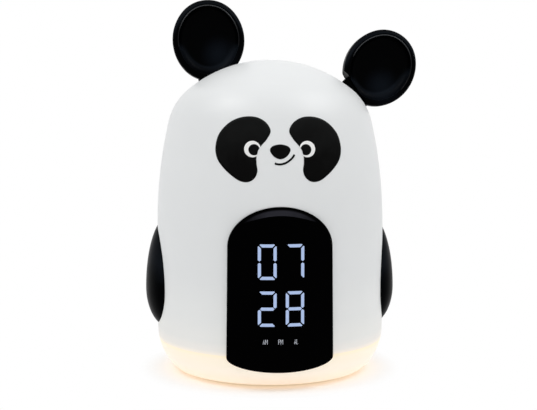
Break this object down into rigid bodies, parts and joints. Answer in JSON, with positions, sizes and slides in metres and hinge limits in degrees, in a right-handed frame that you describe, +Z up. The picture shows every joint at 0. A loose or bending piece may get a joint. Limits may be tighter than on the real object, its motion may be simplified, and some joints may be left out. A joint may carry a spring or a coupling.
{
  "type": "bedside alarm clock with night light",
  "caption": "Domed child's bedside alarm clock shaped as an animal, with tilting lever ears, a glowing ring base, a curved dark display and push buttons behind.",
  "frame": {"origin": "on the table surface, on the vertical centre line of the round body", "axes": "+Z up; the display and face look along -Y; +X is to the right seen from the front"},
  "size_m": [0.1516, 0.128, 0.203],
  "materials": {
    "white_shell": "satin moulded",
    "glow_ring": "translucent, satin",
    "base_white": "satin moulded",
    "foot_rubber": "matt",
    "black_lens": "gloss, dark tinted",
    "black_ear": "satin gloss",
    "black_lever": "matt",
    "grey_button": "matt",
    "inner_white": "matt",
    "bracket_grey": "matt",
    "circuit_green": "satin lacquer",
    "chip_black": "matt",
    "warm_lamp": "clear resin",
    "cool_lamp": "clear resin",
    "steel": "plated",
    "spring_brass": "sprung strip",
    "cell_steel": "plated",
    "magnet_grey": "plated",
    "cone_black": "matt card"
  },
  "bodies": {
    "clock_body": {"base_plate": "base_white", "base_screws": "steel", "battery_contacts": "spring_brass", "bracket_screws": "steel", "button_board": "circuit_green", "button_board_screws": "steel", "button_keys": "chip_black", "chassis": "inner_white", "chassis_screws": "steel", "coin_cell": "cell_steel", "diffuser_ring": "glow_ring", "display_board": "circuit_green", "display_lamps": "cool_lamp", "display_lens": "black_lens", "display_screws": "steel", "ear_bracket": "bracket_grey", "foot_ring": "foot_rubber", "left_arm": "black_ear", "left_detent_spring": "spring_brass", "left_ear_pin": "steel", "left_ear_switch": "chip_black", "light_board": "circuit_green", "light_guide": "inner_white", "light_reflector": "inner_white", "main_board": "circuit_green", "main_board_components": "chip_black", "main_board_screws": "steel", "night_light_lamps": "warm_lamp", "outer_shell": "white_shell", "power_socket": "steel", "right_arm": "black_ear", "right_detent_spring": "spring_brass", "right_ear_pin": "steel", "right_ear_switch": "chip_black", "speaker_cone": "cone_black", "speaker_frame": "steel", "speaker_magnet": "magnet_grey"},
    "left_ear": {"left_ear_dish": "black_ear", "left_ear_cover": "black_ear", "left_ear_lever": "black_lever"},
    "right_ear": {"right_ear_dish": "black_ear", "right_ear_cover": "black_ear", "right_ear_lever": "black_lever"},
    "battery_cap": {"battery_cap": "base_white"},
    "set_button": {"set_button": "grey_button"},
    "snooze_button": {"snooze_button": "grey_button"},
    "light_button": {"light_button": "grey_button"},
    "down_button": {"down_button": "grey_button"},
    "up_button": {"up_button": "grey_button"}
  },
  "joints": [
    {"name": "left_ear_swing", "type": "hinge", "parent": "clock_body", "child": "left_ear", "pos_m": [-0.023, 0.006, 0.1252], "axis": [0, -1, 0], "range_deg": [0, 32.4]},
    {"name": "right_ear_swing", "type": "hinge", "parent": "clock_body", "child": "right_ear", "pos_m": [0.023, 0.006, 0.1252], "axis": [0, -1, 0], "range_deg": [0, 32.4]},
    {"name": "set_button_press", "type": "slide", "parent": "clock_body", "child": "set_button", "axis": [0, -1, 0], "range_m": [0, 0.0008], "stiffness_N_per_m": 1200},
    {"name": "snooze_button_press", "type": "slide", "parent": "clock_body", "child": "snooze_button", "axis": [0, -1, 0], "range_m": [0, 0.0008], "stiffness_N_per_m": 1200},
    {"name": "light_button_press", "type": "slide", "parent": "clock_body", "child": "light_button", "axis": [0, -1, 0], "range_m": [0, 0.0008], "stiffness_N_per_m": 1200},
    {"name": "down_button_press", "type": "slide", "parent": "clock_body", "child": "down_button", "axis": [0, -1, 0], "range_m": [0, 0.0008], "stiffness_N_per_m": 1200},
    {"name": "up_button_press", "type": "slide", "parent": "clock_body", "child": "up_button", "axis": [0, -1, 0], "range_m": [0, 0.0008], "stiffness_N_per_m": 1200},
    {"name": "battery_cap_turn", "type": "hinge", "parent": "clock_body", "child": "battery_cap", "pos_m": [0, 0, 0.0018], "axis": [0, 0, 1], "range_deg": [0, 90]}
  ]
}
